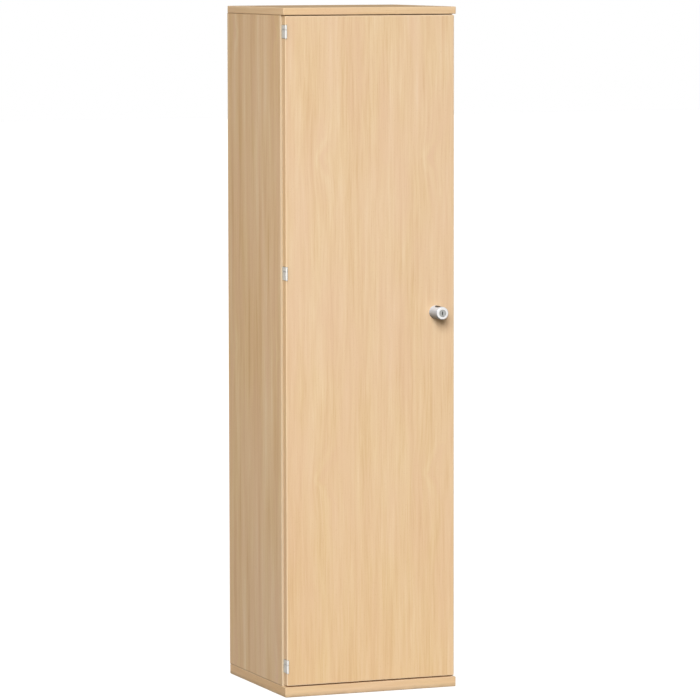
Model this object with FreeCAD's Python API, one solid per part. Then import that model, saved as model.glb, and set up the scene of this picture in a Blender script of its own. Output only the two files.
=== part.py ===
import FreeCAD, Part
import math
import os

# A tall office cabinet with one door hinged on its left and a turn knob that bolts it at three points.
# Millimetres. +Z is up, the door faces -Y, +X is to the right of someone who faces the door.
# The origin is the centre of the base board's underside.

Vec = FreeCAD.Vector

# Boards: the overall size, and the thickness that each board is cut from
WIDTH = 400.0
DEPTH = 350.0
HEIGHT = 1490.0
TOP_THICKNESS = 16.0
BASE_THICKNESS = 22.0
BOARD_THICKNESS = 19.0
BACK_THICKNESS = 8.0
BAND_THICKNESS = 2.0
BAND_RADIUS = 1.9
SIDE_BAND_RADIUS = 0.5
FOOT_GROOVE_HEIGHT = 0.8
FOOT_GROOVE_DEPTH = 2.5

# Door: its setback behind the front of the top, and the gaps around it
DOOR_RECESS = 1.0
DOOR_GAP = 1.5
DOOR_SIDE_INSET = 4.0
DOOR_TOP_GAP = 1.8
DOOR_BOTTOM_GAP = 2.8

# Back board and its groove
BACK_INSET = 10.0
GROOVE_DEPTH = 6.0
GROOVE_CLEARANCE = 0.1

# Shelves, and the rows of support holes
SHELF_COUNT = 3
FIXED_SHELF = 1
SHELF_SETBACK = 22.0
SHELF_END_CLEARANCE = 0.5
SHELF_BACK_CLEARANCE = 1.0
HOLE_PITCH = 32.0
HOLES_EACH_WAY = 4
HOLE_ROW_INSET = 37.0
SUPPORT_RADIUS = 2.5
SUPPORT_PIN_LENGTH = 10.0
SUPPORT_HOLE_DEPTH = 12.0
SPADE_LENGTH = 11.0
SPADE_WIDTH = 12.0
SPADE_THICKNESS = 2.0

# Board joints: cam discs, cam bolts and dowels
FIT = 0.05
HOLE_BOTTOM_ROOM = 1.0
JOINT_INSET = 60.0
DOWEL_SPACING = 32.0
CAM_RADIUS = 7.5
CAM_SETBACK = 24.0
CAM_PAST_BOLT = 4.0
CAM_SLOT_WIDTH = 1.4
CAM_SLOT_LENGTH = 9.0
CAM_SLOT_DEPTH = 1.6
BOLT_RADIUS = 3.0
BOLT_THREAD_RADIUS = 2.5
BOLT_THREAD_LENGTH = 10.0
BOLT_NECK_RADIUS = 1.7
BOLT_NECK_LENGTH = 3.5
BOLT_HEAD_LENGTH = 3.0
DOWEL_RADIUS = 4.0
DOWEL_SHORT_END = 10.0
DOWEL_LONG_END = 20.0

# Hinges: heights of their middles, and the barrel at the door's front left corner
HINGE_TOP_DROP = 51.5
HINGE_MIDDLE_DROP = 570.0
HINGE_BOTTOM_RISE = 67.0
HINGE_HEIGHT = 28.0
HINGE_AXIS_INSET = 5.3
HINGE_AXIS_PROUD = 1.0
KNUCKLE_RADIUS = 2.75
UPPER_KNUCKLE = 9.3
KNUCKLE_GAP = 1.0
HINGE_PIN_RADIUS = 1.25
HINGE_PIN_HEAD_RADIUS = 2.0
HINGE_PIN_HEAD_HEIGHT = 0.8
LEAF_THICKNESS = 2.0
LEAF_ARM_PROUD = 0.3
LEAF_SWING_ROOM = 2.6
LEAF_LET_IN = 1.0
LEAF_LET_IN_CLEARANCE = 0.3
FRAME_LEAF_LENGTH = 48.0
DOOR_LEAF_LENGTH = 46.0
LEAF_SCREW_FIRST = 14.0
LEAF_SCREW_SPACING = 22.0

# Chipboard screws with countersunk heads
SCREW_RADIUS = 1.6
SCREW_LENGTH = 13.0
SCREW_HEAD_RADIUS = 3.2
SCREW_HEAD_HEIGHT = 1.8
SCREW_SLOT_WIDTH = 0.8
SCREW_SLOT_LENGTH = 3.6
SCREW_SLOT_DEPTH = 0.9

# Lock: the case on the door's back, and the pinion that drives the rods and the latch bolt
KNOB_RISE = 827.0
KNOB_INSET = 48.5
LOCK_CASE_WIDTH = 46.0
LOCK_CASE_HEIGHT = 80.0
LOCK_CASE_DEPTH = 12.0
LOCK_WALL = 1.5
LOCK_PLATE_MARGIN = 9.0
LOCK_SCREW_INSET = 4.5
GEAR_MODULE = 0.75
GEAR_TEETH = 20
GEAR_PRESSURE_ANGLE = 20.0
GEAR_BACKLASH = 0.2
GEAR_ADDENDUM = 0.70
GEAR_DEDENDUM = 0.95
GEAR_END_ROOM = 0.6
KNOB_TURN = 90.0
RACK_THICKNESS = 4.0
RACK_BODY = 4.0
RACK_LAYER_GAP = 0.5
RACK_RUN_ON = 6.0
LATCH_HEIGHT = 7.0
LATCH_PROUD = 0.5
LATCH_SLOT_CLEARANCE = 0.3
STRIKE_THICKNESS = 1.5
STRIKE_HEIGHT = 46.0
STRIKE_WIDTH = 14.0
STRIKE_SCREW_INSET = 7.0
STRIKE_SLOT_CLEARANCE = 1.0

# Rods, their guides and their sockets
ROD_RADIUS = 3.0
ROD_END_ROOM = 2.0
ROD_SHOE_SIZE = 8.6
ROD_SHOE_HEIGHT = 14.0
ROD_SHOE_BITE = 11.0
ROD_SHOE_ROOM = 2.0
ROD_CLEARANCE = 0.1
GUIDE_END_DISTANCE = 28.0
GUIDE_LOCK_DISTANCE = 130.0
GUIDE_HEIGHT = 12.0
GUIDE_BODY_WIDTH = 11.0
GUIDE_BODY_WALL = 2.0
GUIDE_FOOT_WIDTH = 31.0
GUIDE_FOOT_THICKNESS = 3.0
GUIDE_SCREW_SPACING = 21.0
SOCKET_RADIUS = 5.5
SOCKET_DEPTH = 11.5
SOCKET_ROD_CLEARANCE = 0.5

# Knob with its grips, its rosette, spindle and key cylinder
ROSETTE_RADIUS = 14.2
ROSETTE_THICKNESS = 2.5
ROSETTE_EDGE = 1.0
KNOB_ROOM = 0.5
KNOB_LENGTH = 39.0
KNOB_BASE_RADIUS = 14.6
KNOB_FACE_RADIUS = 13.8
KNOB_RIM = 2.0
KNOB_HOLLOW_RADIUS = 36.0
KNOB_HOLLOW_DEPTH = 3.0
KNOB_HOLLOW_PLACE = 20.0
GRIP_THICKNESS = 1.0
SPINDLE_RADIUS = 5.0
SPINDLE_BITE = 9.0
SPINDLE_SQUARE = 7.0
BUSH_RADIUS = 9.0
CYLINDER_RADIUS = 8.2
CYLINDER_LENGTH = 22.0
CYLINDER_SUNK = 0.6
PLUG_RADIUS = 5.8
PLUG_LENGTH = 19.0
KEYWAY_WIDTH = 2.0
KEYWAY_HEIGHT = 8.0
KEYWAY_DEPTH = 15.0

# Door buffers on the right side board's front edge
BUFFER_RADIUS = 4.0
BUFFER_CLEARANCE = 0.2
BUFFER_END_DISTANCE = 120.0

# Levelling feet in the base board
FOOT_INSET_X = 48.0
FOOT_INSET_FRONT = 62.0
FOOT_INSET_REAR = 52.0
FOOT_RADIUS = 14.0
FOOT_PAD = 5.0
FOOT_LIFT = 0.3
FOOT_POCKET_ROOM = 0.4
FOOT_STUD_RADIUS = 4.0
FOOT_STUD_TOP_ROOM = 2.0
FOOT_KEY_RADIUS = 2.3
FOOT_KEY_DEPTH = 5.0
SLEEVE_RADIUS = 6.0
CAP_RADIUS = 9.0
CAP_THICKNESS = 1.2
CAP_PLUG_LENGTH = 1.5

# Two coordinates that differ by less than this are the same
SAME_PLACE = 1e-6

# Planes that the boards share
LEFT = -WIDTH / 2
RIGHT = WIDTH / 2
FRONT = -DEPTH / 2
REAR = DEPTH / 2
INNER_LEFT = LEFT + BOARD_THICKNESS
INNER_RIGHT = RIGHT - BOARD_THICKNESS
BASE_TOP = BASE_THICKNESS
TOP_UNDERSIDE = HEIGHT - TOP_THICKNESS
DOOR_FRONT = FRONT + DOOR_RECESS
DOOR_BACK = DOOR_FRONT + BOARD_THICKNESS
DOOR_LEFT = LEFT + DOOR_SIDE_INSET
DOOR_RIGHT = RIGHT - DOOR_SIDE_INSET
DOOR_BOTTOM = BASE_TOP + DOOR_BOTTOM_GAP
DOOR_TOP = TOP_UNDERSIDE - DOOR_TOP_GAP
SIDE_FRONT = DOOR_BACK + DOOR_GAP
BACK_FACE = REAR - BACK_INSET - BACK_THICKNESS
SHELF_FRONT = SIDE_FRONT + SHELF_SETBACK

# Lock planes: the knob's axis, then the layers of the mechanism behind the door
KNOB_X = RIGHT - KNOB_INSET
KNOB_Z = KNOB_RISE
LOCK_FLOOR = DOOR_BACK + LOCK_WALL
PITCH_RADIUS = GEAR_MODULE * GEAR_TEETH / 2
STROKE = PITCH_RADIUS * math.radians(KNOB_TURN)
RACK_ROOT = PITCH_RADIUS + GEAR_DEDENDUM
ROD_OFFSET = RACK_ROOT + RACK_BODY / 2
RACK_START = LOCK_FLOOR + GEAR_END_ROOM + RACK_LAYER_GAP
RACK_END = RACK_START + RACK_THICKNESS
LATCH_START = RACK_END + RACK_LAYER_GAP
LATCH_END = LATCH_START + RACK_THICKNESS
ROD_Y = (RACK_START + RACK_END) / 2

AXES = {"x": Vec(1, 0, 0), "y": Vec(0, 1, 0), "z": Vec(0, 0, 1)}
nodes = {}


def block(x, y, z):
    """A box between two limits on each axis, given in either order."""
    low = Vec(min(x), min(y), min(z))
    high = Vec(max(x), max(y), max(z))
    return Part.makeBox(high.x - low.x, high.y - low.y, high.z - low.z, low)


def round_bar(axis, centre, limits, radius):
    """A cylinder along one axis; centre is its place on the two other axes, in x, y, z order."""
    place = list(centre)
    place.insert("xyz".index(axis), min(limits))
    return Part.makeCylinder(radius, max(limits) - min(limits), Vec(*place), AXES[axis])


def outer_edges(shape, limits, along):
    """The straight edges along the given axes whose two other coordinates are limits of the whole board."""
    found = []
    for edge in shape.Edges:
        start, end = edge.Vertexes[0].Point, edge.Vertexes[-1].Point
        run = [axis for axis in "xyz" if abs(getattr(start, axis) - getattr(end, axis)) > SAME_PLACE]
        if len(run) != 1 or run[0] not in along:
            continue
        fixed = [axis for axis in "xyz" if axis != run[0]]
        reach = [min(abs(getattr(start, axis) - limit) for limit in limits[axis]) for axis in fixed]
        if max(reach) < SAME_PLACE:
            found.append(edge)
    return found


def rounded(shape, limits, along="xyz", radius=BAND_RADIUS):
    """A band with its edges on the board's outside rounded."""
    return shape.makeFillet(radius, outer_edges(shape, limits, along))


def banded_board(x, y, z, normal, through):
    """A board's core and the four bands around it; two bands run the full length of one axis."""
    limits = {"x": x, "y": y, "z": z}
    cross = [axis for axis in "xyz" if axis not in (normal, through)][0]
    core = dict(limits)
    for axis in (through, cross):
        core[axis] = (limits[axis][0] + BAND_THICKNESS, limits[axis][1] - BAND_THICKNESS)
    bands = []
    for axis in (cross, through):
        for end in (0, 1):
            strip = dict(limits)
            strip[axis] = (limits[axis][end], core[axis][end])
            if axis == through:
                strip[cross] = core[cross]
            bands.append(rounded(block(**strip), limits))
    return block(**core), bands


def group(solids):
    return Part.makeCompound(solids)


def screw(seat, into):
    """A countersunk screw whose head is flush at seat and whose tip points along into."""
    head = Part.makeCone(SCREW_HEAD_RADIUS, SCREW_RADIUS, SCREW_HEAD_HEIGHT, seat, into)
    shank = Part.makeCylinder(SCREW_RADIUS, SCREW_LENGTH, seat, into)
    body = head.fuse(shank).removeSplitter()
    across = Vec(0, 0, 1) if abs(into.z) < 0.5 else Vec(1, 0, 0)
    for turn in (45, 135):
        slot = Part.makeBox(SCREW_SLOT_LENGTH, SCREW_SLOT_WIDTH, 2 * SCREW_SLOT_DEPTH)
        slot.translate(Vec(-SCREW_SLOT_LENGTH / 2, -SCREW_SLOT_WIDTH / 2, -SCREW_SLOT_DEPTH))
        slot.rotate(Vec(), AXES["z"], turn)
        turned = FreeCAD.Placement(seat, FreeCAD.Rotation(across, across.cross(into), into))
        slot.Placement = turned.multiply(slot.Placement)
        body = body.cut(slot)
    return body


def screw_hole(seat, into):
    """The countersunk hole that a screw goes into, with its fit."""
    head = Part.makeCone(SCREW_HEAD_RADIUS + FIT, SCREW_RADIUS + FIT, SCREW_HEAD_HEIGHT, seat, into)
    shank = Part.makeCylinder(SCREW_RADIUS + FIT, SCREW_LENGTH + HOLE_BOTTOM_ROOM, seat, into)
    return head.fuse(shank)


# Board joints: every joint is a point on the plane where two boards meet, the way into the board that holds
# the cam, and the way from that board's middle to the face that the cam is pressed into.

def board_joints():
    """Places of the cams, and of the dowels beside them."""
    cams = []
    dowels = []
    up, inward = AXES["z"], {LEFT: AXES["x"], RIGHT: -AXES["x"]}
    for side in (LEFT, RIGHT):
        middle = side + inward[side].x * BOARD_THICKNESS / 2
        for y, beside in ((SIDE_FRONT + JOINT_INSET, 1), (REAR - JOINT_INSET, -1)):
            next_y = y + beside * DOWEL_SPACING
            for z, toward in ((BASE_TOP, up), (TOP_UNDERSIDE, -up)):
                cams.append((Vec(middle, y, z), toward, inward[side]))
                dowels.append((Vec(middle, next_y, z), toward))
            face = side + inward[side].x * BOARD_THICKNESS
            shelf_middle = shelf_underside(FIXED_SHELF) + BOARD_THICKNESS / 2
            cams.append((Vec(face, y, shelf_middle), inward[side], -up))
            dowels.append((Vec(face, next_y, shelf_middle), inward[side]))
    return cams, dowels


def shelf_underside(index):
    """Height of a shelf's underside, with all the compartments equal."""
    clear = (TOP_UNDERSIDE - BASE_TOP - SHELF_COUNT * BOARD_THICKNESS) / (SHELF_COUNT + 1)
    return BASE_TOP + clear + index * (clear + BOARD_THICKNESS)


def cam_disc(point, toward, face, fit):
    """The disc, or with a fit its pocket, from the board's face to just past the bolt."""
    depth = BOARD_THICKNESS / 2 + CAM_PAST_BOLT
    centre = point + toward * CAM_SETBACK
    bottom = centre - face * (CAM_PAST_BOLT + fit)
    disc = Part.makeCylinder(CAM_RADIUS + fit, depth + fit, bottom, face)
    if fit:
        return disc
    past_centre = centre + toward * BOLT_HEAD_LENGTH
    entry = Part.makeCylinder(BOLT_RADIUS + FIT, CAM_RADIUS + BOLT_HEAD_LENGTH, past_centre, -toward)
    disc = disc.cut(entry)
    top = centre + face * (BOARD_THICKNESS / 2)
    side = toward.cross(face)
    for way, across in ((toward, side), (side, toward)):
        slot = Part.makeBox(CAM_SLOT_LENGTH, CAM_SLOT_WIDTH, 2 * CAM_SLOT_DEPTH)
        slot.translate(Vec(-CAM_SLOT_LENGTH / 2, -CAM_SLOT_WIDTH / 2, -CAM_SLOT_DEPTH))
        turned = FreeCAD.Placement(top, FreeCAD.Rotation(way, across, face))
        slot.Placement = turned.multiply(slot.Placement)
        disc = disc.cut(slot)
    return disc


def cam_bolt(point, toward, fit):
    """The bolt, or with a fit the holes that it needs in both boards."""
    reach = CAM_SETBACK + BOLT_HEAD_LENGTH / 2
    room = HOLE_BOTTOM_ROOM if fit else 0.0
    thread = Part.makeCylinder(BOLT_THREAD_RADIUS + fit, BOLT_THREAD_LENGTH + room, point, -toward)
    if fit:
        return thread.fuse(Part.makeCylinder(BOLT_RADIUS + fit, reach, point, toward))
    shank_length = reach - BOLT_HEAD_LENGTH - BOLT_NECK_LENGTH
    shank = Part.makeCylinder(BOLT_RADIUS, shank_length, point, toward)
    neck = Part.makeCylinder(BOLT_NECK_RADIUS, BOLT_NECK_LENGTH, point + toward * shank_length, toward)
    head_start = point + toward * (reach - BOLT_HEAD_LENGTH)
    head = Part.makeCylinder(BOLT_RADIUS, BOLT_HEAD_LENGTH, head_start, toward)
    return thread.fuse([shank, neck, head]).removeSplitter()


def dowel(point, toward, fit):
    room = HOLE_BOTTOM_ROOM if fit else 0.0
    start = point - toward * (DOWEL_SHORT_END + room)
    return Part.makeCylinder(DOWEL_RADIUS + fit, DOWEL_SHORT_END + DOWEL_LONG_END + 2 * room, start, toward)


cam_places, dowel_places = board_joints()
nodes["cam_discs"] = group([cam_disc(*place, 0.0) for place in cam_places])
nodes["cam_bolts"] = group([cam_bolt(point, toward, 0.0) for point, toward, face in cam_places])
nodes["dowels"] = group([dowel(*place, 0.0) for place in dowel_places])
joint_holes = [cam_disc(*place, FIT) for place in cam_places]
joint_holes += [cam_bolt(point, toward, FIT) for point, toward, face in cam_places]
joint_holes += [dowel(*place, FIT) for place in dowel_places]

# Back board, in a groove in the sides, the top and the base
back_x = (INNER_LEFT - GROOVE_DEPTH, INNER_RIGHT + GROOVE_DEPTH)
back_z = (BASE_TOP - GROOVE_DEPTH, TOP_UNDERSIDE + GROOVE_DEPTH)
back_y = (BACK_FACE, BACK_FACE + BACK_THICKNESS)
nodes["back_panel"] = block(back_x, back_y, back_z)
groove = block(
    (back_x[0] - GROOVE_CLEARANCE, back_x[1] + GROOVE_CLEARANCE),
    (back_y[0], back_y[1] + GROOVE_CLEARANCE),
    (back_z[0] - GROOVE_CLEARANCE, back_z[1] + GROOVE_CLEARANCE),
)

# Hinges: a leaf on the side board, a leaf on the door and a pin, three times over
hinge_heights = {
    "top": HEIGHT - HINGE_TOP_DROP,
    "middle": HEIGHT - HINGE_MIDDLE_DROP,
    "bottom": HINGE_BOTTOM_RISE,
}
hinge_x = LEFT + HINGE_AXIS_INSET
hinge_y = DOOR_FRONT - HINGE_AXIS_PROUD
arm_x = (DOOR_LEFT - LEAF_ARM_PROUD, DOOR_LEFT - LEAF_ARM_PROUD + LEAF_THICKNESS)
notch_x = arm_x[1] + LEAF_SWING_ROOM
door_plate_end = arm_x[0] + DOOR_LEAF_LENGTH
frame_face_y = (SIDE_FRONT + LEAF_LET_IN - LEAF_THICKNESS, SIDE_FRONT + LEAF_LET_IN)
frame_plate_x = (INNER_LEFT, INNER_LEFT + LEAF_THICKNESS)
door_plate_y = (DOOR_BACK - LEAF_THICKNESS, DOOR_BACK)


def knuckle_spans(z):
    """Heights of the barrel's knuckles: the frame leaf's below, the door leaf's above."""
    bottom, top = z - HINGE_HEIGHT / 2, z + HINGE_HEIGHT / 2
    return (bottom, top - UPPER_KNUCKLE - KNUCKLE_GAP), (top - UPPER_KNUCKLE, top)


def leaf_screw_places(z):
    """Seats of one hinge's screws: in the side board, then in the door."""
    steps = [LEAF_SCREW_FIRST + number * LEAF_SCREW_SPACING for number in (0, 1)]
    frame = [(Vec(frame_plate_x[1], SIDE_FRONT + step, z), -AXES["x"]) for step in steps]
    door = [(Vec(arm_x[0] + step, DOOR_BACK, z), -AXES["y"]) for step in steps]
    return frame, door


def frame_leaf(z):
    """The lower knuckle, an arm in the notch of the door's edge, and a plate round the side's front."""
    height = (z - HINGE_HEIGHT / 2, z + HINGE_HEIGHT / 2)
    lower, upper = knuckle_spans(z)
    parts = [
        round_bar("z", (hinge_x, hinge_y), lower, KNUCKLE_RADIUS),
        block(arm_x, (hinge_y, frame_face_y[1]), lower),
        block((arm_x[0], frame_plate_x[1]), frame_face_y, height),
        block(frame_plate_x, (frame_face_y[0], SIDE_FRONT + FRAME_LEAF_LENGTH), height),
    ]
    leaf = parts[0].fuse(parts[1:]).removeSplitter()
    holes = [screw_hole(*place) for place in leaf_screw_places(z)[0]]
    return leaf.cut([round_bar("z", (hinge_x, hinge_y), height, HINGE_PIN_RADIUS + FIT)] + holes)


def door_leaf(z):
    """The upper knuckle, an arm in the notch of the door's edge, and a plate let into the door's back."""
    height = (z - HINGE_HEIGHT / 2, z + HINGE_HEIGHT / 2)
    lower, upper = knuckle_spans(z)
    parts = [
        round_bar("z", (hinge_x, hinge_y), upper, KNUCKLE_RADIUS),
        block((arm_x[0], notch_x - LEAF_LET_IN_CLEARANCE), (hinge_y, DOOR_BACK), upper),
        block((arm_x[0], door_plate_end), door_plate_y, upper),
        block((notch_x, door_plate_end), door_plate_y, height),
    ]
    leaf = parts[0].fuse(parts[1:]).removeSplitter()
    holes = [screw_hole(*place) for place in leaf_screw_places(z)[1]]
    return leaf.cut([round_bar("z", (hinge_x, hinge_y), height, HINGE_PIN_RADIUS + FIT)] + holes)


def hinge_pin(z):
    """A pin through the barrel with a head on each end."""
    bottom, top = z - HINGE_HEIGHT / 2, z + HINGE_HEIGHT / 2
    shank = round_bar("z", (hinge_x, hinge_y), (bottom, top), HINGE_PIN_RADIUS)
    heads = []
    for start, way in ((bottom, -1), (top, 1)):
        heads.append(round_bar("z", (hinge_x, hinge_y), (start, start + way * HINGE_PIN_HEAD_HEIGHT),
                               HINGE_PIN_HEAD_RADIUS))
    return shank.fuse(heads).removeSplitter()


frame_screw_places = []
door_screw_places = []
side_rebates = []
door_notches = []
for name, z in hinge_heights.items():
    nodes[name + "_hinge_frame_leaf"] = frame_leaf(z)
    nodes[name + "_hinge_door_leaf"] = door_leaf(z)
    nodes[name + "_hinge_pin"] = hinge_pin(z)
    in_side, in_door = leaf_screw_places(z)
    frame_screw_places += in_side
    door_screw_places += in_door
    span = (z - HINGE_HEIGHT / 2 - LEAF_LET_IN_CLEARANCE, z + HINGE_HEIGHT / 2 + LEAF_LET_IN_CLEARANCE)
    side_rebates.append(block(
        (arm_x[0] - LEAF_LET_IN_CLEARANCE, INNER_LEFT), (SIDE_FRONT, SIDE_FRONT + LEAF_LET_IN), span))
    barrel_span = (span[0] - HINGE_PIN_HEAD_HEIGHT, span[1] + HINGE_PIN_HEAD_HEIGHT)
    notch = block((DOOR_LEFT, notch_x), (DOOR_FRONT, DOOR_BACK), barrel_span)
    plate_room = block((DOOR_LEFT, door_plate_end + LEAF_LET_IN_CLEARANCE), door_plate_y, span)
    door_notches.append(notch.fuse(plate_room))
nodes["hinge_frame_screws"] = group([screw(*place) for place in frame_screw_places])
nodes["hinge_door_screws"] = group([screw(*place) for place in door_screw_places])

# Shelves: the fixed one is in the board joints, the loose ones lie on spade supports
shelf_bands = []
support_pins = []
support_holes = []
row_places = (SIDE_FRONT + HOLE_ROW_INSET, BACK_FACE - HOLE_ROW_INSET)
for index in range(SHELF_COUNT):
    underside = shelf_underside(index)
    height = (underside, underside + BOARD_THICKNESS)
    fixed = index == FIXED_SHELF
    end_room = 0.0 if fixed else SHELF_END_CLEARANCE
    back_room = 0.0 if fixed else SHELF_BACK_CLEARANCE
    shelf_x = (INNER_LEFT + end_room, INNER_RIGHT - end_room)
    limits = {"x": shelf_x, "y": (SHELF_FRONT, BACK_FACE - back_room), "z": height}
    band = block(shelf_x, (SHELF_FRONT, SHELF_FRONT + BAND_THICKNESS), height)
    shelf_bands.append(rounded(band, limits, "x"))
    board = block(shelf_x, (SHELF_FRONT + BAND_THICKNESS, BACK_FACE - back_room), height)
    if fixed:
        nodes["fixed_shelf"] = board.cut(joint_holes)
        continue
    nodes["lower_shelf" if index < FIXED_SHELF else "upper_shelf"] = board
    for y in row_places:
        for face, inward in ((INNER_LEFT, 1), (INNER_RIGHT, -1)):
            pin_z = underside - SUPPORT_RADIUS
            pin_x = (face - inward * SUPPORT_PIN_LENGTH, face + inward * SPADE_THICKNESS)
            pin = round_bar("x", (y, pin_z), pin_x, SUPPORT_RADIUS)
            spade_y = (y - SPADE_WIDTH / 2, y + SPADE_WIDTH / 2)
            spade_z = (underside - SPADE_THICKNESS, underside)
            spade = block((face, face + inward * SPADE_LENGTH), spade_y, spade_z)
            support_pins.append(pin.fuse(spade).removeSplitter())
            for step in range(-HOLES_EACH_WAY, HOLES_EACH_WAY + 1):
                hole_z = pin_z + step * HOLE_PITCH
                support_holes.append(round_bar("x", (y, hole_z), (face, face - inward * SUPPORT_HOLE_DEPTH),
                                               SUPPORT_RADIUS + FIT))
nodes["shelf_edge_bands"] = group(shelf_bands)
nodes["shelf_supports"] = group(support_pins)

# Latch bolt and its strike: the bolt lies over the pinion, in the layer behind the racks
latch_z = (KNOB_Z + RACK_ROOT, KNOB_Z + RACK_ROOT + LATCH_HEIGHT)
latch_nose = KNOB_X + LOCK_CASE_WIDTH / 2 + LATCH_PROUD
latch_middle_y = (LATCH_START + LATCH_END) / 2
strike_x = (INNER_RIGHT - STRIKE_THICKNESS, INNER_RIGHT)
strike_y = (latch_middle_y - STRIKE_WIDTH / 2, latch_middle_y + STRIKE_WIDTH / 2)
strike_middle_z = (latch_z[0] + latch_z[1]) / 2
strike_slot = block(
    (strike_x[0], latch_nose + STROKE + STRIKE_SLOT_CLEARANCE),
    (LATCH_START - STRIKE_SLOT_CLEARANCE, LATCH_END + STRIKE_SLOT_CLEARANCE),
    (latch_z[0] - STRIKE_SLOT_CLEARANCE, latch_z[1] + STRIKE_SLOT_CLEARANCE),
)
strike_screw_places = []
for way in (-1, 1):
    seat_z = strike_middle_z + way * (STRIKE_HEIGHT / 2 - STRIKE_SCREW_INSET)
    strike_screw_places.append((Vec(strike_x[0], latch_middle_y, seat_z), AXES["x"]))
strike_z = (strike_middle_z - STRIKE_HEIGHT / 2, strike_middle_z + STRIKE_HEIGHT / 2)
strike = block(strike_x, strike_y, strike_z)
nodes["strike_plate"] = strike.cut([strike_slot] + [screw_hole(*place) for place in strike_screw_places])
nodes["strike_screws"] = group([screw(*place) for place in strike_screw_places])

# Rod sockets: sleeves in the top and the base that take the rods' ends
upper_rod_x = KNOB_X - ROD_OFFSET
lower_rod_x = KNOB_X + ROD_OFFSET
socket_places = ((upper_rod_x, TOP_UNDERSIDE, 1), (lower_rod_x, BASE_TOP, -1))
sockets = []
socket_holes = []
for x, face, way in socket_places:
    depth = (face, face + way * SOCKET_DEPTH)
    socket_holes.append(round_bar("z", (x, ROD_Y), depth, SOCKET_RADIUS + FIT))
    sleeve = round_bar("z", (x, ROD_Y), depth, SOCKET_RADIUS)
    sockets.append(sleeve.cut(round_bar("z", (x, ROD_Y), depth, ROD_RADIUS + SOCKET_ROD_CLEARANCE)))
nodes["rod_sockets"] = group(sockets)

# Levelling feet: each stands in a pocket under the base, on a stud in a threaded sleeve under a cap
foot_places = {}
for side_name, x in (("left", LEFT + FOOT_INSET_X), ("right", RIGHT - FOOT_INSET_X)):
    for end_name, y in (("front", FRONT + FOOT_INSET_FRONT), ("rear", REAR - FOOT_INSET_REAR)):
        foot_places[end_name + "_" + side_name + "_foot"] = (x, y)
pad_top = FOOT_LIFT + FOOT_PAD
pocket_top = pad_top + FOOT_POCKET_ROOM
base_holes = []
sleeves = []
caps = []
for name, place in foot_places.items():
    pad = round_bar("z", place, (FOOT_LIFT, pad_top), FOOT_RADIUS)
    stud = round_bar("z", place, (pad_top, BASE_TOP - FOOT_STUD_TOP_ROOM), FOOT_STUD_RADIUS)
    stud_top = BASE_TOP - FOOT_STUD_TOP_ROOM
    key = Part.Face(Part.makePolygon([
        Vec(place[0] + FOOT_KEY_RADIUS * math.cos(math.radians(60 * corner)),
            place[1] + FOOT_KEY_RADIUS * math.sin(math.radians(60 * corner)), stud_top)
        for corner in range(7)
    ])).extrude(Vec(0, 0, -FOOT_KEY_DEPTH))
    nodes[name] = pad.fuse(stud).removeSplitter().cut(key)
    base_holes.append(round_bar("z", place, (0, pocket_top), FOOT_RADIUS + FOOT_POCKET_ROOM))
    base_holes.append(round_bar("z", place, (pocket_top, BASE_TOP), SLEEVE_RADIUS + FIT))
    sleeve = round_bar("z", place, (pocket_top, BASE_TOP), SLEEVE_RADIUS)
    sleeves.append(sleeve.cut(round_bar("z", place, (pocket_top, BASE_TOP), FOOT_STUD_RADIUS + FIT)))
    cap = round_bar("z", place, (BASE_TOP, BASE_TOP + CAP_THICKNESS), CAP_RADIUS)
    plug = round_bar("z", place, (BASE_TOP - CAP_PLUG_LENGTH, BASE_TOP), FOOT_STUD_RADIUS)
    caps.append(cap.fuse(plug).removeSplitter())
nodes["foot_sleeves"] = group(sleeves)
nodes["foot_caps"] = group(caps)

# Top and base boards, banded all round
top_core, top_bands = banded_board((LEFT, RIGHT), (FRONT, REAR), (TOP_UNDERSIDE, HEIGHT), "z", "x")
nodes["top_panel"] = top_core.cut(joint_holes + socket_holes[:1] + [groove])
nodes["top_edge_bands"] = group(top_bands)
base_core, base_bands = banded_board((LEFT, RIGHT), (FRONT, REAR), (0.0, BASE_TOP), "z", "x")
nodes["base_panel"] = base_core.cut(joint_holes + socket_holes[1:] + base_holes + [groove])
nodes["base_edge_bands"] = group(base_bands)

# Side boards between the top and the base, with a band on the front edge and a shadow groove at the foot
side_z = (BASE_TOP, TOP_UNDERSIDE)
frame_screw_holes = [screw_hole(*place) for place in frame_screw_places]
strike_holes = [strike_slot] + [screw_hole(*place) for place in strike_screw_places]
buffer_places = []
for z in (DOOR_BOTTOM + BUFFER_END_DISTANCE, DOOR_TOP - BUFFER_END_DISTANCE):
    buffer_places.append((INNER_RIGHT + BOARD_THICKNESS / 2, z))
side_cuts = {"left": frame_screw_holes + side_rebates, "right": strike_holes}
foot_groove_z = (BASE_TOP, BASE_TOP + FOOT_GROOVE_HEIGHT)
foot_grooves = [
    block((outer - FOOT_GROOVE_DEPTH, outer + FOOT_GROOVE_DEPTH), (SIDE_FRONT, REAR), foot_groove_z)
    for outer in (LEFT, RIGHT)]
for name, side_x in (("left", (LEFT, INNER_LEFT)), ("right", (INNER_RIGHT, RIGHT))):
    limits = {"x": side_x, "y": (SIDE_FRONT, REAR), "z": side_z}
    cuts = side_cuts[name] + foot_grooves
    board = block(side_x, (SIDE_FRONT + BAND_THICKNESS, REAR), side_z)
    nodes[name + "_side_panel"] = board.cut(joint_holes + support_holes + cuts + [groove])
    band = block(side_x, (SIDE_FRONT, SIDE_FRONT + BAND_THICKNESS), side_z)
    nodes[name + "_side_edge_band"] = rounded(band, limits, "z", SIDE_BAND_RADIUS).cut(cuts)
buffer_y = (DOOR_BACK + BUFFER_CLEARANCE, SIDE_FRONT)
nodes["door_buffers"] = group([round_bar("y", place, buffer_y, BUFFER_RADIUS) for place in buffer_places])

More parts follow.
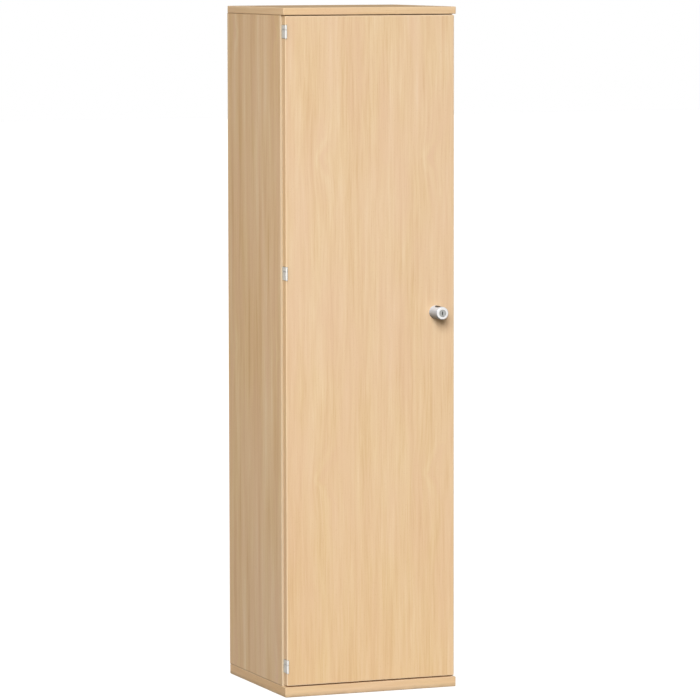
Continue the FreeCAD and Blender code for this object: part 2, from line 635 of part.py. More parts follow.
# Rod guides: a saddle on a foot, screwed to the door's back, two on each rod
rod_ends = {upper_rod_x: (KNOB_Z, DOOR_TOP, 1), lower_rod_x: (KNOB_Z, DOOR_BOTTOM, -1)}
guide_screw_places = []
guides = []
guide_back = ROD_Y + ROD_RADIUS + GUIDE_BODY_WALL
for x, (lock_z, end_z, way) in rod_ends.items():
    for z in (lock_z + way * GUIDE_LOCK_DISTANCE, end_z - way * GUIDE_END_DISTANCE):
        height = (z - GUIDE_HEIGHT / 2, z + GUIDE_HEIGHT / 2)
        saddle_x = (x - GUIDE_BODY_WIDTH / 2, x + GUIDE_BODY_WIDTH / 2)
        foot_x = (x - GUIDE_FOOT_WIDTH / 2, x + GUIDE_FOOT_WIDTH / 2)
        saddle = block(saddle_x, (DOOR_BACK, guide_back), height)
        foot = block(foot_x, (DOOR_BACK, DOOR_BACK + GUIDE_FOOT_THICKNESS), height)
        places = []
        for side in (-1, 1):
            seat = Vec(x + side * GUIDE_SCREW_SPACING / 2, DOOR_BACK + GUIDE_FOOT_THICKNESS, z)
            places.append((seat, -AXES["y"]))
        bore = round_bar("z", (x, ROD_Y), height, ROD_RADIUS + ROD_CLEARANCE)
        guide_holes = [bore] + [screw_hole(*place) for place in places]
        guides.append(saddle.fuse(foot).removeSplitter().cut(guide_holes))
        guide_screw_places += places
nodes["rod_guides"] = group(guides)
nodes["rod_guide_screws"] = group([screw(*place) for place in guide_screw_places])


# Lock mechanism: an involute pinion drives a rack on each side and the latch bolt over it

def involute(angle):
    return math.tan(angle) - angle


def pinion_outline():
    """The pinion's outline about the knob's axis, with a tooth gap at the left, the right and the top."""
    pressure = math.radians(GEAR_PRESSURE_ANGLE)
    base_radius = PITCH_RADIUS * math.cos(pressure)
    tip_radius = PITCH_RADIUS + GEAR_ADDENDUM
    root_radius = PITCH_RADIUS - GEAR_DEDENDUM
    half_tooth = math.pi / (2 * GEAR_TEETH) - GEAR_BACKLASH / (4 * PITCH_RADIUS)
    steps = 4
    flank = [(root_radius, half_tooth + involute(pressure))]
    for step in range(steps + 1):
        radius = base_radius + (tip_radius - base_radius) * step / steps
        rolled = math.acos(min(1.0, base_radius / radius))
        flank.append((radius, half_tooth + involute(pressure) - involute(rolled)))
    points = []
    for tooth in range(GEAR_TEETH):
        middle = 2 * math.pi * (tooth + 0.5) / GEAR_TEETH
        sides = [(radius, middle - half) for radius, half in flank]
        sides += [(radius, middle + half) for radius, half in reversed(flank)]
        for radius, turn in sides:
            points.append(Vec(KNOB_X + radius * math.cos(turn), 0, KNOB_Z + radius * math.sin(turn)))
    return points + points[:1]


def rack_outline(first, last, back):
    """A rack along the first axis of a flat plane, with teeth that point along the second, centred on 0."""
    pitch = math.pi * GEAR_MODULE
    slope = math.tan(math.radians(GEAR_PRESSURE_ANGLE))
    half = (pitch - GEAR_BACKLASH) / 4
    points = [(first, -back)]
    number = math.ceil((first + pitch / 2) / pitch)
    points.append((first, -GEAR_DEDENDUM))
    while (number + 0.5) * pitch < last:
        middle = number * pitch
        points.append((middle - half - GEAR_DEDENDUM * slope, -GEAR_DEDENDUM))
        points.append((middle - half + GEAR_ADDENDUM * slope, GEAR_ADDENDUM))
        points.append((middle + half - GEAR_ADDENDUM * slope, GEAR_ADDENDUM))
        points.append((middle + half + GEAR_DEDENDUM * slope, -GEAR_DEDENDUM))
        number += 1
    points.append((last, -GEAR_DEDENDUM))
    points.append((last, -back))
    return points


def slab(points, start, end):
    """A closed outline at any depth, made solid between two depths behind the door."""
    flat = [Vec(point.x, start, point.z) for point in points]
    return Part.Face(Part.makePolygon(flat)).extrude(Vec(0, end - start, 0))


pinion_y = (LOCK_FLOOR + GEAR_END_ROOM, LATCH_END)
square_bore = block(
    (KNOB_X - SPINDLE_SQUARE / 2 - FIT, KNOB_X + SPINDLE_SQUARE / 2 + FIT),
    pinion_y,
    (KNOB_Z - SPINDLE_SQUARE / 2 - FIT, KNOB_Z + SPINDLE_SQUARE / 2 + FIT),
)
nodes["lock_pinion"] = slab(pinion_outline(), *pinion_y).cut(square_bore)

rack_back = GEAR_DEDENDUM + RACK_BODY
case_top = KNOB_Z + LOCK_CASE_HEIGHT / 2
case_bottom = KNOB_Z - LOCK_CASE_HEIGHT / 2
shoe_half = ROD_SHOE_SIZE / 2
for name, way in (("upper", 1), ("lower", -1)):
    rod_x = KNOB_X - way * ROD_OFFSET
    shoe_start = KNOB_Z + way * (LOCK_CASE_HEIGHT / 2 + ROD_SHOE_ROOM)
    rack_length = LOCK_CASE_HEIGHT / 2 + ROD_SHOE_ROOM
    outline = rack_outline(-STROKE - RACK_RUN_ON, RACK_RUN_ON, rack_back)
    points = [Vec(KNOB_X - way * (PITCH_RADIUS - out), 0, KNOB_Z + way * along) for along, out in outline]
    teeth = slab(points + points[:1], RACK_START, RACK_END)
    bar_x = (KNOB_X - way * RACK_ROOT, KNOB_X - way * (RACK_ROOT + RACK_BODY))
    bar = block(bar_x, (RACK_START, RACK_END), (KNOB_Z + way * RACK_RUN_ON, KNOB_Z + way * rack_length))
    shoe_z = (shoe_start, shoe_start + way * ROD_SHOE_HEIGHT)
    shoe = block((rod_x - shoe_half, rod_x + shoe_half), (ROD_Y - shoe_half, ROD_Y + shoe_half), shoe_z)
    rod_start = shoe_z[1] - way * ROD_SHOE_BITE
    bore = round_bar("z", (rod_x, ROD_Y), (rod_start, shoe_z[1]), ROD_RADIUS + FIT)
    nodes[name + "_rack"] = teeth.fuse([bar, shoe]).removeSplitter().cut(bore)
    rod_end = (TOP_UNDERSIDE if way > 0 else BASE_TOP) - way * ROD_END_ROOM
    nodes[name + "_rod"] = round_bar("z", (rod_x, ROD_Y), (rod_start, rod_end), ROD_RADIUS)

outline = rack_outline(-STROKE - RACK_RUN_ON, RACK_RUN_ON, GEAR_DEDENDUM + LATCH_HEIGHT)
points = [Vec(KNOB_X + along, 0, KNOB_Z + PITCH_RADIUS - out) for along, out in outline]
latch_teeth = slab(points + points[:1], LATCH_START, LATCH_END)
latch_bar = block((KNOB_X + RACK_RUN_ON, latch_nose), (LATCH_START, LATCH_END), latch_z)
nodes["latch_bolt"] = latch_teeth.fuse(latch_bar).removeSplitter()

# Lock case: a plate against the door and a cover over the mechanism, both screwed to the door
case_x = (KNOB_X - LOCK_CASE_WIDTH / 2, KNOB_X + LOCK_CASE_WIDTH / 2)
case_z = (case_bottom, case_top)
plate_z = (case_bottom - LOCK_PLATE_MARGIN, case_top + LOCK_PLATE_MARGIN)
cover_back = LOCK_FLOOR + LOCK_CASE_DEPTH
lock_screw_places = []
for side in (-1, 1):
    for end in (-1, 1):
        x = KNOB_X + side * (LOCK_CASE_WIDTH / 2 - LOCK_SCREW_INSET)
        z = KNOB_Z + end * (LOCK_CASE_HEIGHT / 2 + LOCK_PLATE_MARGIN - LOCK_SCREW_INSET)
        lock_screw_places.append((Vec(x, LOCK_FLOOR, z), -AXES["y"]))
lock_screw_holes = [screw_hole(*place) for place in lock_screw_places]
bush_bore = round_bar("y", (KNOB_X, KNOB_Z), (DOOR_FRONT, LOCK_FLOOR), BUSH_RADIUS + FIT)
shoe_room = []
for way in (-1, 1):
    rod_x = KNOB_X - way * ROD_OFFSET
    shoe_room.append(block(
        (rod_x - shoe_half - LATCH_SLOT_CLEARANCE, rod_x + shoe_half + LATCH_SLOT_CLEARANCE),
        (DOOR_BACK, LOCK_FLOOR),
        (KNOB_Z + way * LOCK_CASE_HEIGHT / 2, KNOB_Z + way * (LOCK_CASE_HEIGHT / 2 + LOCK_PLATE_MARGIN)),
    ))
lock_plate = block(case_x, (DOOR_BACK, LOCK_FLOOR), plate_z)
nodes["lock_base_plate"] = lock_plate.cut([bush_bore] + lock_screw_holes + shoe_room)
cover = block(case_x, (LOCK_FLOOR, cover_back), case_z)
cavity = block(
    (case_x[0] + LOCK_WALL, case_x[1] - LOCK_WALL),
    (LOCK_FLOOR, cover_back - LOCK_WALL),
    (case_z[0] + LOCK_WALL, case_z[1] - LOCK_WALL),
)
openings = [cavity]
for way in (-1, 1):
    bar_x = (KNOB_X - way * (RACK_ROOT - LATCH_SLOT_CLEARANCE),
             KNOB_X - way * (RACK_ROOT + RACK_BODY + LATCH_SLOT_CLEARANCE))
    wall_z = (KNOB_Z + way * LOCK_CASE_HEIGHT / 2, KNOB_Z + way * (LOCK_CASE_HEIGHT / 2 - LOCK_WALL))
    openings.append(block(bar_x, (LOCK_FLOOR, RACK_END + LATCH_SLOT_CLEARANCE), wall_z))
openings.append(block(
    (case_x[1] - LOCK_WALL, case_x[1]),
    (LATCH_START - LATCH_SLOT_CLEARANCE, LATCH_END + LATCH_SLOT_CLEARANCE),
    (latch_z[0] - LATCH_SLOT_CLEARANCE, latch_z[1] + LATCH_SLOT_CLEARANCE),
))
nodes["lock_cover"] = cover.cut(openings)
nodes["lock_screws"] = group([screw(*place) for place in lock_screw_places])

# Knob on its spindle: a rosette and a bush stay with the door, a key cylinder sits in the knob's end face
rosette_front = DOOR_FRONT - ROSETTE_THICKNESS
rosette = round_bar("y", (KNOB_X, KNOB_Z), (rosette_front, DOOR_FRONT), ROSETTE_RADIUS)
rim = [edge for edge in rosette.Edges if edge.BoundBox.YMax < rosette_front + SAME_PLACE]
rosette = rosette.makeFillet(ROSETTE_EDGE, rim)
spindle_bore = round_bar("y", (KNOB_X, KNOB_Z), (rosette_front, LOCK_FLOOR), SPINDLE_RADIUS + FIT)
nodes["lock_rosette"] = rosette.cut(spindle_bore)
bush = round_bar("y", (KNOB_X, KNOB_Z), (DOOR_FRONT, LOCK_FLOOR), BUSH_RADIUS)
nodes["spindle_bush"] = bush.cut(spindle_bore)

knob_back = rosette_front - KNOB_ROOM
knob_face = knob_back - KNOB_LENGTH
spindle_front = knob_back - SPINDLE_BITE
spindle = round_bar("y", (KNOB_X, KNOB_Z), (spindle_front, LOCK_FLOOR), SPINDLE_RADIUS)
square = block(
    (KNOB_X - SPINDLE_SQUARE / 2, KNOB_X + SPINDLE_SQUARE / 2),
    (LOCK_FLOOR, pinion_y[1]),
    (KNOB_Z - SPINDLE_SQUARE / 2, KNOB_Z + SPINDLE_SQUARE / 2),
)
nodes["knob_spindle"] = spindle.fuse(square).removeSplitter()

knob_seat = Vec(KNOB_X, knob_back, KNOB_Z)
knob = Part.makeCone(KNOB_BASE_RADIUS, KNOB_FACE_RADIUS, KNOB_LENGTH, knob_seat, -AXES["y"])
ends = [edge for edge in knob.Edges if abs(edge.BoundBox.YMax - edge.BoundBox.YMin) < SAME_PLACE]
knob = knob.makeFillet(KNOB_RIM, ends)
flare = (KNOB_FACE_RADIUS - KNOB_BASE_RADIUS) * KNOB_HOLLOW_PLACE / KNOB_LENGTH
hollow_rise = KNOB_BASE_RADIUS + flare - KNOB_HOLLOW_DEPTH + KNOB_HOLLOW_RADIUS
hollows = []
grips = []
for way in (-1, 1):
    centre = Vec(KNOB_X, knob_back - KNOB_HOLLOW_PLACE, KNOB_Z + way * hollow_rise)
    hollows.append(Part.makeSphere(KNOB_HOLLOW_RADIUS, centre))
    pad = knob.common(Part.makeSphere(KNOB_HOLLOW_RADIUS - FIT, centre))
    grips.append(pad.cut(Part.makeSphere(KNOB_HOLLOW_RADIUS - FIT - GRIP_THICKNESS, centre)))
nodes["knob_grips"] = group(grips)
cylinder_y = (knob_face + CYLINDER_SUNK, knob_face + CYLINDER_LENGTH)
plug_y = (cylinder_y[0], cylinder_y[0] + PLUG_LENGTH)
knob_holes = [
    round_bar("y", (KNOB_X, KNOB_Z), (knob_face, cylinder_y[1]), CYLINDER_RADIUS + FIT),
    round_bar("y", (KNOB_X, KNOB_Z), (spindle_front, knob_back), SPINDLE_RADIUS + FIT),
]
nodes["knob"] = knob.cut(hollows + knob_holes)
cylinder = round_bar("y", (KNOB_X, KNOB_Z), cylinder_y, CYLINDER_RADIUS)
nodes["key_cylinder"] = cylinder.cut(round_bar("y", (KNOB_X, KNOB_Z), plug_y, PLUG_RADIUS + FIT))
keyway = block(
    (KNOB_X - KEYWAY_WIDTH / 2, KNOB_X + KEYWAY_WIDTH / 2),
    (plug_y[0], plug_y[0] + KEYWAY_DEPTH),
    (KNOB_Z - KEYWAY_HEIGHT / 2, KNOB_Z + KEYWAY_HEIGHT / 2),
)
nodes["key_plug"] = round_bar("y", (KNOB_X, KNOB_Z), plug_y, PLUG_RADIUS).cut(keyway)

# Door board, banded all round, with its hinge notches, the bush's hole and the screw holes
door_core, door_bands = banded_board(
    (DOOR_LEFT, DOOR_RIGHT), (DOOR_FRONT, DOOR_BACK), (DOOR_BOTTOM, DOOR_TOP), "y", "z")
door_holes = [screw_hole(*place) for place in door_screw_places + guide_screw_places + lock_screw_places]
nodes["door_panel"] = door_core.cut(door_notches + door_holes + [bush_bore])
nodes["door_edge_bands"] = group([piece for band in door_bands for piece in band.cut(door_notches).Solids])

os.makedirs("parts", exist_ok=True)
for name, shape in nodes.items():
    shape.exportStep("parts/" + name + ".step")
print(len(nodes), "nodes,", sum(len(shape.Solids) for shape in nodes.values()), "solids")
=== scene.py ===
import math

import bmesh
import bpy
from mathutils import Euler, Matrix, Vector


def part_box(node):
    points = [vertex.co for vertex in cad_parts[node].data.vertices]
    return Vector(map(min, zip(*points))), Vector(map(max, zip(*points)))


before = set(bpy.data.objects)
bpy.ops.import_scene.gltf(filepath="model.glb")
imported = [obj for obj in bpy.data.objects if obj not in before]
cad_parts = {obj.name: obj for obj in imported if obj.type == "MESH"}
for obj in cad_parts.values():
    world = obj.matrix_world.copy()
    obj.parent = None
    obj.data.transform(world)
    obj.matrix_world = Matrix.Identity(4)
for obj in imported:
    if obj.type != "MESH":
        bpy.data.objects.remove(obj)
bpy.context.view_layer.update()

# Base board: a chipboard panel faced with beech-printed paper that is hardened with melamine resin.
# Plastic bands in the same print are glued round its four edges, and the sides stand on it.


class Graph:
    """Adds nodes to one shader tree and links them."""

    def __init__(self, tree):
        self.tree = tree

    def add(self, kind, inputs=(), **settings):
        node = self.tree.nodes.new("ShaderNode" + kind)
        for name, value in settings.items():
            setattr(node, name, value)
        for name, value in dict(inputs).items():
            if isinstance(value, bpy.types.NodeSocket):
                self.tree.links.new(value, node.inputs[name])
            else:
                node.inputs[name].default_value = value
        return node

    def math(self, operation, *values):
        return self.add("Math", enumerate(values), operation=operation).outputs[0]

    def times(self, first, second):
        return self.math("MULTIPLY", first, second)

    def total(self, *values):
        total = values[0]
        for value in values[1:]:
            total = self.math("ADD", total, value)
        return total

    def scaled(self, place, factors):
        """A vector, each part times its own factor: for a pattern, its waves per metre."""
        return self.add("VectorMath", {0: place, 1: factors}, operation="MULTIPLY").outputs[0]

    def noise(self, place, detail=0.0):
        return self.add("TexNoise", {"Vector": place, "Scale": 1.0, "Detail": detail}).outputs[0]

    def swing(self, place, detail, amount):
        """Noise about zero."""
        return self.times(self.math("SUBTRACT", self.noise(place, detail), 0.5), amount)

    def bell(self, value, width):
        """1 where the value is zero, falling smoothly to either side."""
        steps = self.math("DIVIDE", value, width)
        return self.math("EXPONENT", self.times(self.times(steps, steps), -1.0))

    def fade(self, value, start, end, low=0.0, high=1.0):
        """Goes from low to high while the value goes from start to end, and stays there."""
        limits = {"Value": value, "From Min": start, "From Max": end, "To Min": low, "To Max": high}
        return self.add("MapRange", limits).outputs[0]

    def mix(self, factor, first, second, blend="MIX"):
        node = self.add("Mix", {0: factor, 6: first, 7: second}, data_type="RGBA", blend_type=blend)
        return node.outputs[2]

    def tones(self, value, *stops):
        """A colour that runs through the stops, each a value and a colour."""
        node = self.add("ValToRGB", {0: value})
        elements = node.color_ramp.elements
        while len(elements) < len(stops):
            elements.new(1.0)
        for element, (position, colour) in zip(elements, stops):
            element.position = position
            element.color = colour
        return node.outputs[0]

    def bump(self, height, distance, strength):
        inputs = {"Height": height, "Distance": distance, "Strength": strength}
        return self.add("Bump", inputs).outputs[0]

    def split(self, vector):
        return self.add("SeparateXYZ", {0: vector}).outputs

    def where(self):
        """The place on the object, in its own axes."""
        return self.add("TexCoord").outputs["Object"]

    def facing(self):
        """The way that the surface looks, in its object's axes."""
        return self.split(self.add("TexCoord").outputs["Normal"])

    def faces_along(self, axis):
        """How squarely the surface looks along an axis, either way, 0 to 1."""
        return self.math("ABSOLUTE", self.facing()[axis])


def new_group(name, inputs, outputs):
    """An empty shader group, with its input sockets and the sockets that take what it puts out."""
    tree = bpy.data.node_groups.new(name, "ShaderNodeTree")
    for title in inputs:
        kind = "NodeSocketVector" if title == "Place" else "NodeSocketFloat"
        tree.interface.new_socket(name=title, in_out="INPUT", socket_type=kind)
    for title in outputs:
        tree.interface.new_socket(name=title, in_out="OUTPUT", socket_type="NodeSocketFloat")
    graph = Graph(tree)
    given = tree.nodes.new("NodeGroupInput").outputs
    put_out = tree.nodes.new("NodeGroupOutput").inputs
    return graph, given, put_out


def new_material(name, **constants):
    """A material with a Principled shader, its even values set on the shader's own sockets."""
    material = bpy.data.materials.new(name)
    material.use_nodes = True
    material.node_tree.nodes.clear()
    graph = Graph(material.node_tree)
    sockets = {title.replace("_", " "): value for title, value in constants.items()}
    shader = graph.add("BsdfPrincipled", sockets)
    surface = graph.add("OutputMaterial")
    graph.tree.links.new(shader.outputs[0], surface.inputs["Surface"])
    return material, graph, shader


def feed(graph, inputs, **values):
    """Links values to the sockets of a shader, or of a group's end, that have their names."""
    for title, value in values.items():
        graph.tree.links.new(value, inputs[title.replace("_", " ")])


def dress(material, *names):
    for name in names:
        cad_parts[name].material_slots[0].material = material


def paint(red, green, blue):
    """A colour written in display values, 0 to 255, for a shader socket."""
    linear = []
    for value in (red, green, blue):
        value /= 255
        linear.append(value / 12.92 if value <= 0.04045 else ((value + 0.055) / 1.055) ** 2.4)
    return (*linear, 1.0)


# The print's figure: Place has x across the grain, y through the board and z along it, in metres.
# Soft streaks run along the grain, and small pale curls open to one side at even steps over it.
LEAF_SHIFT = (1.37, 0.61, 2.93)
WANDER = 0.012
WANDER_WAVES = (5, 5, 1.5)
FEATHER = 0.005
FEATHER_WAVES = (40, 40, 7)
CURL_ACROSS = 0.128
CURL_ALONG = 0.472
CURL_HALF_STEP_ACROSS = 0.125
CURL_HALF_STEP_ALONG = 0.347
CURL_OPENING = 0.42
CURL_LENGTH = 0.060
CURL_STROKE = 0.0075
CURL_ROUGHNESS = 0.045
CURL_ROUGH_WAVES = (32, 32, 14)
CURL_PUSH = 0.006
CURL_PUSH_WIDTH = 0.04
CURL_LIGHTER = 0.15
CURL_COOLER = -0.6
HOLLOW_DARKER = -0.06
HOLLOW_WARMER = 0.5
BAND_TONE = 0.9
BAND_WAVES = (34, 34, 1.8)
STREAK_TONE = 0.9
STREAK_WAVES = (150, 150, 5)
THREAD_TONE = 0.8
THREAD_WAVES = (620, 620, 14)
MEAN_TONE = 0.53
PATCH_WAVES = (26, 26, 5)
DRIFT_WAVES = (1.6, 1.6, 1.1)
FLECK_WAVES = (1500, 1500, 190)
PORE_WAVES = (2600, 2600, 130)

graph, given, put_out = new_group(
    "beech_print", ("Place", "Leaf", "Banding"), ("Tone", "Warmth", "Drift", "Fleck", "Pore"))
leaves = graph.add("CombineXYZ", {axis: given["Leaf"] for axis in "XYZ"}).outputs[0]
shift = graph.scaled(leaves, LEAF_SHIFT)
place = graph.add("VectorMath", {0: given["Place"], 1: shift}, operation="ADD").outputs[0]
parts = graph.split(place)
across = graph.total(
    parts["X"],
    graph.swing(graph.scaled(place, WANDER_WAVES), 2.0, WANDER),
    graph.swing(graph.scaled(place, FEATHER_WAVES), 2.0, FEATHER))
past_curl = graph.math("SUBTRACT", across, CURL_ACROSS)
beside_curl = graph.math("WRAP", past_curl, CURL_HALF_STEP_ACROSS, -CURL_HALF_STEP_ACROSS)
up_from_curl = graph.math("SUBTRACT", parts["Z"], CURL_ALONG)
above_curl = graph.math("WRAP", up_from_curl, CURL_HALF_STEP_ALONG, -CURL_HALF_STEP_ALONG)
arm = graph.total(
    beside_curl,
    graph.times(graph.math("ABSOLUTE", above_curl), -CURL_OPENING),
    graph.swing(graph.scaled(place, CURL_ROUGH_WAVES), 2.0, CURL_ROUGHNESS))
inner_arm = graph.math("ADD", arm, -2 * CURL_STROKE)
nearby = graph.bell(above_curl, CURL_LENGTH)
curl = graph.times(graph.bell(arm, CURL_STROKE), nearby)
hollow = graph.times(graph.bell(inner_arm, CURL_STROKE), nearby)
push = graph.times(graph.times(graph.bell(beside_curl, CURL_PUSH_WIDTH), nearby), CURL_PUSH)
bent_x = graph.math("ADD", across, push)
bent = graph.add("CombineXYZ", {"X": bent_x, "Y": parts["Y"], "Z": parts["Z"]}).outputs[0]
bands = graph.times(graph.swing(graph.scaled(bent, BAND_WAVES), 2.0, BAND_TONE), given["Banding"])
streaks = graph.swing(graph.scaled(bent, STREAK_WAVES), 3.0, STREAK_TONE)
threads = graph.swing(graph.scaled(bent, THREAD_WAVES), 2.0, THREAD_TONE)
patches = graph.fade(graph.noise(graph.scaled(bent, PATCH_WAVES), 2.0), 0.33, 0.67)
feed(graph, put_out,
     Tone=graph.total(
         bands, streaks, threads,
         graph.times(curl, CURL_LIGHTER), graph.times(hollow, HOLLOW_DARKER), MEAN_TONE),
     Warmth=graph.total(
         patches, graph.times(hollow, HOLLOW_WARMER), graph.times(curl, CURL_COOLER)),
     Drift=graph.fade(graph.noise(graph.scaled(place, DRIFT_WAVES), 1.0), 0.30, 0.70),
     Fleck=graph.fade(graph.noise(graph.scaled(bent, FLECK_WAVES)), 0.70, 0.78),
     Pore=graph.noise(graph.scaled(bent, PORE_WAVES), 1.0))
beech_print = graph.tree

# The core, which shows in holes, in grooves and on unbanded edges: pressed wood chips of uneven tone.
CHIP_WAVES = (420, 900, 260)
graph, given, put_out = new_group("chipboard_core", ("Place",), ("Chip", "Gap"))
chips = graph.add("TexVoronoi", {"Vector": graph.scaled(given["Place"], CHIP_WAVES), "Scale": 1.0})
chip = graph.add("SeparateColor", {0: chips.outputs["Color"]}).outputs[0]
feed(graph, put_out, Chip=chip, Gap=chips.outputs["Distance"])
chipboard_core = graph.tree


def grain_place(graph, across, thick, along):
    """The place on the object, with its axes in the order that the print's figure takes them."""
    parts = graph.split(graph.where())
    axes = {"X": parts[across], "Y": parts[thick], "Z": parts[along]}
    return graph.add("CombineXYZ", axes).outputs[0]


def beech_figure(graph, place, leaf, banding):
    """The print's figure at a place, as its outputs. Each leaf is another stretch of the sheet."""
    inputs = {"Place": place, "Leaf": leaf, "Banding": banding}
    return graph.add("Group", inputs, node_tree=beech_print).outputs


BEECH_DEEP = paint(216, 180, 138)
BEECH_DARK = paint(225, 192, 151)
BEECH_MID = paint(232, 203, 164)
BEECH_LIGHT = paint(237, 211, 177)
BEECH_PALE = paint(242, 219, 190)
BEECH_ROSY = paint(233, 199, 171)
ROSY_SHARE = 0.45
AMBER_AND_SHADE_TINT = paint(255, 246, 219)
AMBER_AND_SHADE_SHARE = 0.45
BEECH_FLECK = paint(201, 160, 116)
FLECK_SHARE = 0.32


def print_colour(graph, figure, amber_and_shade):
    """The print's colour; its last argument marks where the tone is made deeper and warmer: slow amber
    patches in the print, and at the door's foot painted shade.
    """
    colour = graph.tones(
        figure["Tone"],
        (0.0, BEECH_DEEP), (0.25, BEECH_DARK), (0.52, BEECH_MID), (0.80, BEECH_LIGHT), (1.0, BEECH_PALE))
    colour = graph.mix(graph.times(figure["Warmth"], ROSY_SHARE), colour, BEECH_ROSY)
    colour = graph.mix(graph.times(amber_and_shade, AMBER_AND_SHADE_SHARE), colour, AMBER_AND_SHADE_TINT, "MULTIPLY")
    return graph.mix(graph.times(figure["Fleck"], FLECK_SHARE), colour, BEECH_FLECK)


CHIP_DARK = paint(150, 116, 78)
CHIP_LIGHT = paint(208, 176, 132)
CHIP_ROUGHNESS = (0.85, 0.85, 0.85, 1.0)
JOINT_SHADE_START = 0.0024
JOINT_SHADE_FULL = 0.0014
JOINT_SHADE_SHARE = 0.6
BOARD_GLOSS = 0.05
BOARD_ROUGHNESS = 0.50
BOARD_ROUGHNESS_SWING = 0.10
BOARD_RELIEF = 0.00025
BOARD_RELIEF_STRENGTH = 0.35
PORE_SHARE = 0.2
EVEN_BANDING = 1.0


def beech_board(
        name, across, thick, along, leaf,
        banding=EVEN_BANDING, warm_shade_foot=None, shaded_joint_ends=None, gloss=BOARD_GLOSS):
    """Melamine-faced board: beech print on its two broad faces, bare chipboard on its cut faces.
    The print is more amber in slow patches; when a foot height is given, it is instead painted darker
    and warmer from that height down to the foot, as painted shade.
    When two end heights are given, the print is painted darker towards them in the core's dark tone:
    painted shade in the joints at the board's ends."""
    material, graph, shader = new_material(name, Specular_IOR_Level=gloss)
    place = grain_place(graph, across, thick, along)
    figure = beech_figure(graph, place, leaf, banding)
    core = graph.add("Group", {"Place": place}, node_tree=chipboard_core).outputs
    faced = graph.fade(graph.faces_along(thick), 0.60, 0.65)
    height = graph.split(place)["Z"]
    amber_and_shade = graph.fade(height, warm_shade_foot, 0.0) if warm_shade_foot else figure["Drift"]
    colour = print_colour(graph, figure, amber_and_shade)
    # Painted shade: the print darkens within a few millimetres of the foot and the head, where the board
    # meets the base and the top.
    if shaded_joint_ends:
        foot, head = shaded_joint_ends
        above_foot = graph.math("SUBTRACT", height, foot)
        below_head = graph.math("SUBTRACT", head, height)
        nearest = graph.math("MINIMUM", above_foot, below_head)
        joint_shade = graph.fade(nearest, JOINT_SHADE_START, JOINT_SHADE_FULL, 0.0, JOINT_SHADE_SHARE)
        colour = graph.mix(joint_shade, colour, CHIP_DARK)
    chips = graph.tones(core["Chip"], (0.0, CHIP_DARK), (1.0, CHIP_LIGHT))
    roughness = graph.total(graph.times(figure["Tone"], BOARD_ROUGHNESS_SWING), BOARD_ROUGHNESS)
    relief = graph.mix(faced, core["Gap"], graph.times(figure["Pore"], PORE_SHARE))
    feed(graph, shader.inputs,
         Base_Color=graph.mix(faced, chips, colour),
         Roughness=graph.mix(faced, CHIP_ROUGHNESS, roughness),
         Normal=graph.bump(relief, BOARD_RELIEF, BOARD_RELIEF_STRENGTH))
    return material


BAND_MILLED_AND_HIGHLIGHT = paint(240, 222, 196)
MILLED_AND_HIGHLIGHT_SHARE = 0.4
BAND_GREYED = paint(205, 189, 163)
BAND_FOOT_SHADE = paint(140, 118, 94)
FOOT_SHADE_WAVES = (45, 45, 160)
BAND_ROUGHNESS = 0.46
BAND_ROUGHNESS_SWING = 0.08
BAND_RELIEF = 0.0002
BAND_RELIEF_STRENGTH = 0.06


def beech_band(name, first, second=None, leaf=0.0, greyed=0.0, foot_shade_top=0.0):
    """Printed plastic edge band, paler where its edges are milled round, partly the milled print and
    partly painted highlight; when a height is given, patchy painted shade darkens it towards the floor
    below that height.
    Each run is the axis that its face looks along, and its grain's axis."""
    material, graph, shader = new_material(name, Specular_IOR_Level=BOARD_GLOSS)
    places = []
    for normal, along in [run for run in (first, second) if run]:
        across = [axis for axis in "XYZ" if axis not in (normal, along)][0]
        places.append(grain_place(graph, across, normal, along))
    place = places[0]
    flat = graph.faces_along(first[0])
    if second:
        other = graph.faces_along(second[0])
        turned = graph.math("GREATER_THAN", other, flat)
        choice = graph.add("Mix", {0: turned, 4: places[0], 5: places[1]}, data_type="VECTOR")
        place = choice.outputs[1]
        flat = graph.math("MAXIMUM", flat, other)
    figure = beech_figure(graph, place, leaf, EVEN_BANDING)
    colour = print_colour(graph, figure, figure["Drift"])
    if greyed:
        colour = graph.mix(greyed, colour, BAND_GREYED)
    # Rounded edges are paler: partly the milled print, partly painted highlight.
    colour = graph.mix(graph.fade(flat, 0.98, 0.72, 0.0, MILLED_AND_HIGHLIGHT_SHARE), colour, BAND_MILLED_AND_HIGHLIGHT)
    # Painted shade: patchy darkening towards the floor, below the given height.
    if foot_shade_top:
        spots = graph.noise(graph.scaled(graph.where(), FOOT_SHADE_WAVES), 2.0)
        low_down = graph.fade(graph.split(graph.where())["Z"], foot_shade_top, 0.0)
        foot_shade = graph.times(low_down, graph.fade(spots, 0.30, 0.70, 0.3, 0.6))
        colour = graph.mix(foot_shade, colour, BAND_FOOT_SHADE)
    feed(graph, shader.inputs,
         Base_Color=colour,
         Roughness=graph.total(graph.times(figure["Tone"], BAND_ROUGHNESS_SWING), BAND_ROUGHNESS),
         Normal=graph.bump(figure["Pore"], BAND_RELIEF, BAND_RELIEF_STRENGTH))
    return material


BASE_FOOT_SHADE_TOP = 0.010
dress(beech_board("base_beech", "Y", "Z", "X", leaf=1.0), "base_panel")
base_bands = beech_band("base_band_beech", ("Y", "X"), ("X", "Y"), leaf=1.5, foot_shade_top=BASE_FOOT_SHADE_TOP)
dress(base_bands, "base_edge_bands")

# Levelling feet: black nylon pads on threaded studs, which screw through zinc sleeves in the base.
# A grey nylon cap covers each stud's hole inside the cabinet.

